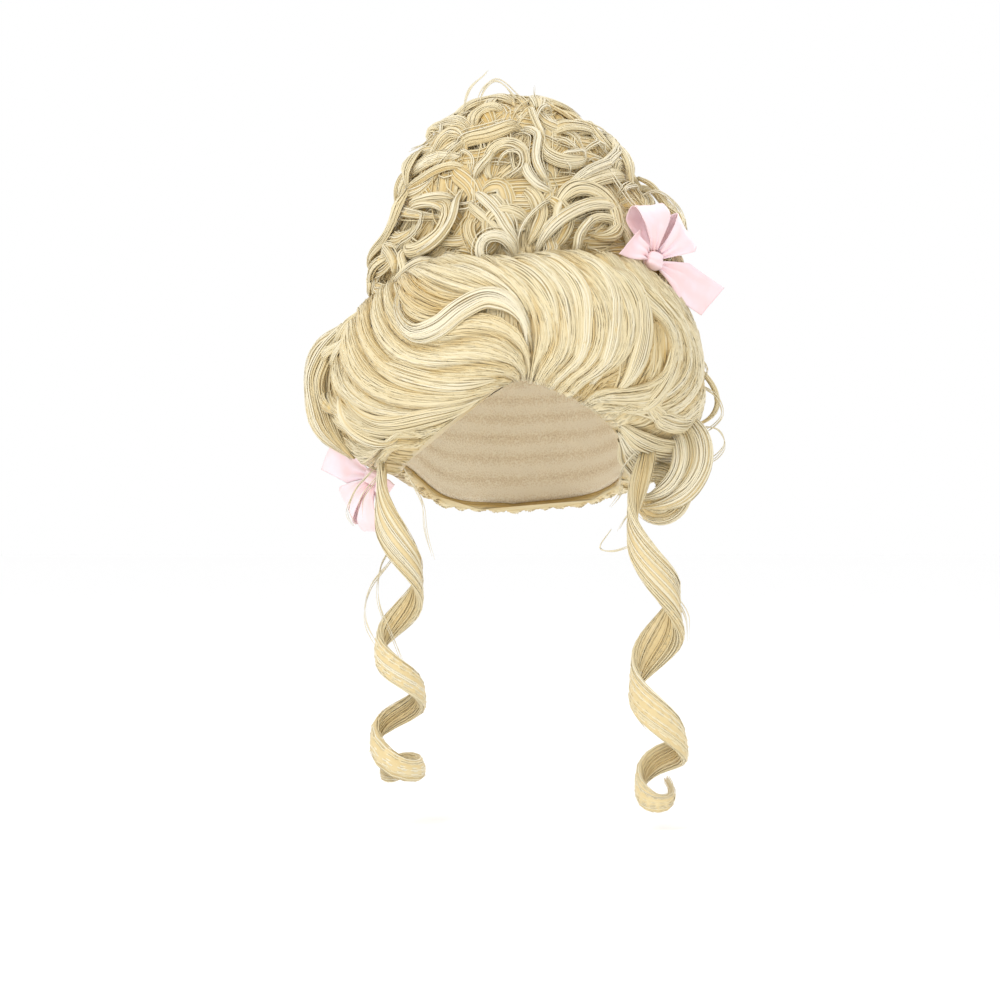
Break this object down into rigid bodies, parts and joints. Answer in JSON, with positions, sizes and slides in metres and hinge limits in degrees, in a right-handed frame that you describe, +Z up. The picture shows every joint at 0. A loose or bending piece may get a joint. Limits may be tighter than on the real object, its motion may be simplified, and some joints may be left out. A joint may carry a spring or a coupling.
{
  "type": "court wig",
  "caption": "Tall pale blond court wig with a rolled front, a curled tower, swept-up back, hanging ringlets and pink ribbon bows, hollow for the head.",
  "frame": {"origin": "inside of the cap's crown, where the wig sits on the top of a head", "axes": "+Z up along the tower, -Y towards the wig's front, +X towards the right of a view of its front"},
  "size_m": [0.2663, 0.2428, 0.4475],
  "materials": {
    "hair": "glossy synthetic hair, pale blond",
    "under_hair": "combed synthetic hair, deeper blond",
    "net": "matt knitted net",
    "ribbon": "pale pink satin ribbon"
  },
  "bodies": {
    "root": {"wig_cap": "net", "tower": "under_hair", "front_wave_left": "hair", "front_wave_right": "hair", "back_hair": "hair", "front_lock_left_s": "hair", "front_lock_left_c": "hair", "front_lock_left_low": "hair", "front_lock_right_1": "hair", "front_lock_right_2": "hair", "front_lock_right_3": "hair", "front_lock_right_4": "hair", "front_lock_right_5": "hair", "front_lock_right_low": "hair", "tower_curl_01": "hair", "tower_curl_02": "hair", "tower_curl_03": "hair", "tower_curl_04": "hair", "tower_curl_05": "hair", "tower_curl_06": "hair", "tower_curl_07": "hair", "tower_curl_08": "hair", "tower_curl_09": "hair", "tower_curl_10": "hair", "tower_curl_11": "hair", "tower_curl_12": "hair", "tower_curl_13": "hair", "tower_curl_14": "hair", "tower_curl_15": "hair", "tower_curl_16": "hair", "tower_curl_17": "hair", "crown_lock_1": "hair", "crown_lock_2": "hair", "crown_lock_3": "hair", "side_roll_left": "hair", "cheek_curl_right": "hair", "ringlet_left": "hair", "ringlet_right": "hair", "bow_right_knot": "ribbon", "bow_right_loop_a": "ribbon", "bow_right_loop_b": "ribbon", "bow_right_tail_a": "ribbon", "bow_right_tail_b": "ribbon", "bow_left_knot": "ribbon", "bow_left_loop_a": "ribbon", "bow_left_loop_b": "ribbon", "bow_left_tail_a": "ribbon", "bow_left_tail_b": "ribbon"}
  },
  "joints": []
}
